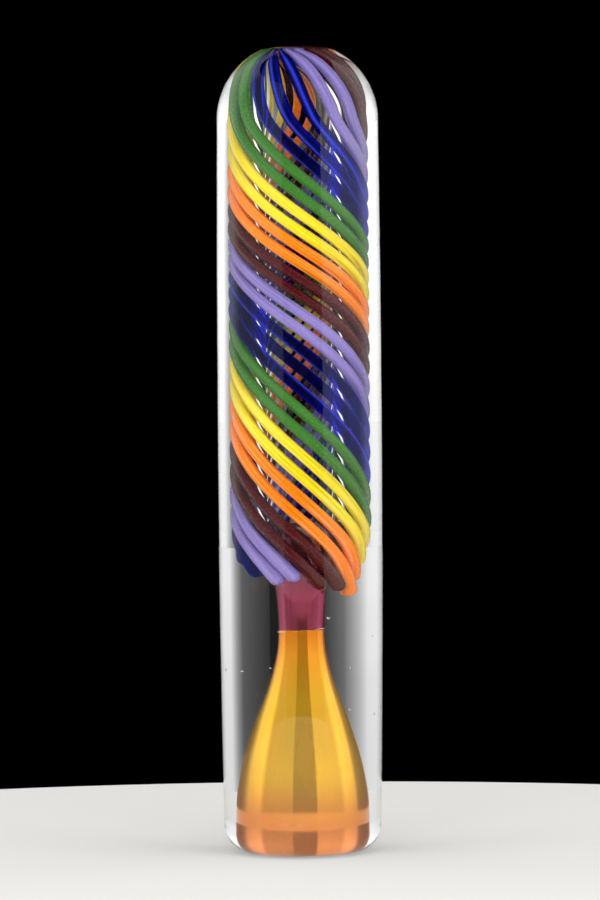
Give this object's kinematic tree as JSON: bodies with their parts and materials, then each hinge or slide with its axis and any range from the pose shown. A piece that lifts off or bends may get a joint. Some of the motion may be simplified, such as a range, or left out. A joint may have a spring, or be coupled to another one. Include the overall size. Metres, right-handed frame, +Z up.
{
  "type": "mezuzah case",
  "caption": "Domed clear glass mezuzah case with twisted coloured canes round a hollow core, a rose neck and amber bell inside, a soft base stopper, a rolled parchment and back mounting pads.",
  "frame": {"origin": "middle of the flat base, at the bottom of the overall box", "axes": "+Z up along the case to the crown, -Y the front, +Y the back with the mounting pads, +X to the viewer's right"},
  "size_m": [0.0328, 0.0328, 0.16],
  "materials": {
    "clear_glass": "fire polished, clear",
    "clear_core": "fire polished, clear",
    "rose_glass": "transparent film of coloured glass",
    "amber_glass": "transparent film of coloured glass",
    "lavender_glass": "opaque glossy",
    "cobalt_glass": "transparent glossy",
    "green_glass": "opaque glossy",
    "yellow_glass": "opaque glossy",
    "orange_glass": "opaque glossy",
    "ruby_glass": "transparent glossy",
    "mounting_pad": "clear soft adhesive pad",
    "clear_silicone": "clear soft silicone",
    "parchment": "matt parchment skin"
  },
  "bodies": {
    "case": {"clear_casing": "clear_glass", "core_tube": "clear_core", "rose_neck": "rose_glass", "amber_bell": "amber_glass", "lavender_cane_1": "lavender_glass", "lavender_cane_2": "lavender_glass", "cobalt_cane_1": "cobalt_glass", "cobalt_cane_2": "cobalt_glass", "cobalt_cane_3": "cobalt_glass", "green_cane_1": "green_glass", "green_cane_2": "green_glass", "yellow_cane_1": "yellow_glass", "yellow_cane_2": "yellow_glass", "orange_cane_1": "orange_glass", "orange_cane_2": "orange_glass", "ruby_cane_1": "ruby_glass", "ruby_cane_2": "ruby_glass", "lower_mounting_pad": "mounting_pad", "upper_mounting_pad": "mounting_pad"},
    "stopper": {"base_stopper": "clear_silicone"},
    "scroll": {"parchment_scroll": "parchment"}
  },
  "joints": [
    {"name": "stopper_pull", "type": "slide", "parent": "case", "child": "stopper", "axis": [0, 0, -1], "range_m": [0, 0.075]},
    {"name": "scroll_drop", "type": "slide", "parent": "case", "child": "scroll", "axis": [0, 0, -1], "range_m": [0, 0.075]}
  ],
  "couplings": [
    {"joint": "scroll_drop", "follows": "stopper_pull", "ratio": 1}
  ]
}
